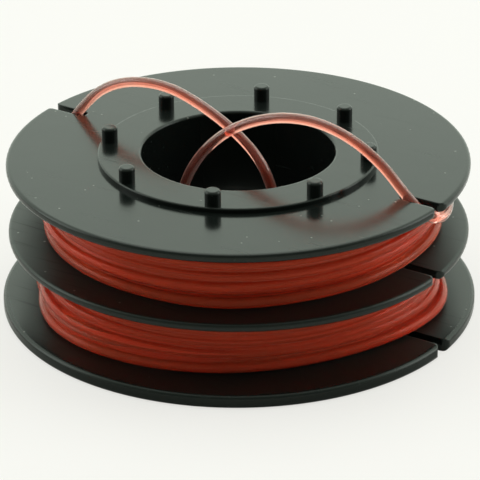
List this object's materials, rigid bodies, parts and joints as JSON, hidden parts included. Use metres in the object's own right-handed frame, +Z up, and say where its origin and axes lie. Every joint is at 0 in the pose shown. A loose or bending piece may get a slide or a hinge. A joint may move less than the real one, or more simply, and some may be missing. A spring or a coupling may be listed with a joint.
{
  "type": "trimmer line spool",
  "caption": "Glossy black plastic spool for a grass trimmer head, its stacked chambers wound with red nylon line whose loose ends run from rim slots over the flange into the bore.",
  "frame": {"origin": "on the spool's axis, in the plane of the bottom flange's underside, which it stands on", "axes": "+Z runs up the spool's axis towards the pegs, X runs through the line slots with the upper line's slot on +X, and Y completes the frame"},
  "size_m": [0.0722, 0.0724, 0.0334],
  "materials": {
    "black_plastic": "glossy",
    "red_line": "clear red, glossy"
  },
  "bodies": {
    "root": {"spool": "black_plastic", "upper_winding": "red_line", "lower_winding": "red_line", "upper_line_end": "red_line", "lower_line_end": "red_line"}
  },
  "joints": []
}
